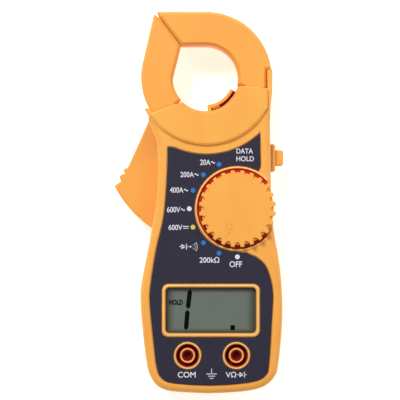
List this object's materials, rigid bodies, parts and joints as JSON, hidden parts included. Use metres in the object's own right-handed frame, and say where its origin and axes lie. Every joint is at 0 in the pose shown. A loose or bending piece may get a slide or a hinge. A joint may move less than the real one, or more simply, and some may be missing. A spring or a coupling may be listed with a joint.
{
  "type": "clamp meter",
  "caption": "Hand-held clamp meter with a hinged jaw and thumb trigger, rotary range selector, display and test-lead sockets.",
  "frame": {"origin": "point on the flat back of the rear case, on the case's long centre line", "axes": "+Z out of the front face, +Y along the length towards the jaws, +X to the right of someone facing the front"},
  "size_m": [0.0889, 0.1994, 0.037],
  "materials": {
    "orange_shell": "fine matt",
    "knob_orange": "satin",
    "dark_label": "printed sheet, fine grain",
    "clear_window": "clear",
    "display_glass": "liquid-crystal grey",
    "zinc_steel": "zinc plated",
    "core_steel": "laminated",
    "enamelled_copper": "wound wire",
    "brass": "turned",
    "green_board": "solder mask",
    "dark_plastic": "moulded",
    "elastomer": "soft",
    "ochre_film": "dipped",
    "overload_blue": "dipped",
    "cell_jacket": "printed sleeve"
  },
  "bodies": {
    "case": {"battery_cell_1": "cell_jacket", "battery_cell_2": "cell_jacket", "battery_door": "orange_shell", "battery_door_screw": "zinc_steel", "battery_plate_1": "zinc_steel", "battery_plate_2": "zinc_steel", "battery_spring_1": "zinc_steel", "battery_spring_2": "zinc_steel", "buzzer": "dark_plastic", "case_screw_1": "zinc_steel", "case_screw_2": "zinc_steel", "case_screw_3": "zinc_steel", "case_screw_4": "zinc_steel", "chip_blob": "dark_plastic", "circuit_board": "green_board", "com_jack": "brass", "elastomer_strip_lower": "elastomer", "elastomer_strip_upper": "elastomer", "film_capacitor_1": "ochre_film", "film_capacitor_2": "ochre_film", "fixed_coil": "enamelled_copper", "fixed_core": "core_steel", "fixed_jaw_front": "orange_shell", "fixed_jaw_rear": "orange_shell", "front_case": "orange_shell", "front_label": "dark_label", "hold_switch": "dark_plastic", "jaw_return_spring": "zinc_steel", "lcd_frame": "dark_plastic", "lcd_glass": "display_glass", "lcd_window": "clear_window", "overload_disc": "overload_blue", "pivot_pin": "zinc_steel", "rear_case": "orange_shell", "trimmer": "overload_blue", "volt_jack": "brass"},
    "moving_jaw": {"moving_jaw_front": "orange_shell", "moving_jaw_rear": "orange_shell", "moving_core": "core_steel", "moving_coil": "enamelled_copper"},
    "knob": {"selector_knob": "knob_orange", "contact_carrier": "dark_plastic", "detent_ball_1": "zinc_steel", "detent_ball_2": "zinc_steel", "detent_spring_1": "zinc_steel", "detent_spring_2": "zinc_steel", "wiper_contact_1": "brass", "wiper_contact_2": "brass", "wiper_contact_3": "brass"},
    "button": {"hold_button": "orange_shell"}
  },
  "joints": [
    {"name": "jaw_swing", "type": "hinge", "parent": "case", "child": "moving_jaw", "pos_m": [0.0015, 0.0356, 0.017], "axis": [0, 0, 1], "range_deg": [0, 27.5], "stiffness_Nm_per_rad": 0.8, "springref_deg": -20.05, "deforming": ["jaw_return_spring"]},
    {"name": "knob_turn", "type": "hinge", "parent": "case", "child": "knob", "pos_m": [0.0132, -0.0035, 0.032], "axis": [0, 0, 1], "range_deg": [-135, 22.5]},
    {"name": "hold_press", "type": "slide", "parent": "case", "child": "button", "axis": [-1, 0, 0], "range_m": [0, 0.0012], "stiffness_N_per_m": 600, "springref_m": -0.0005}
  ]
}
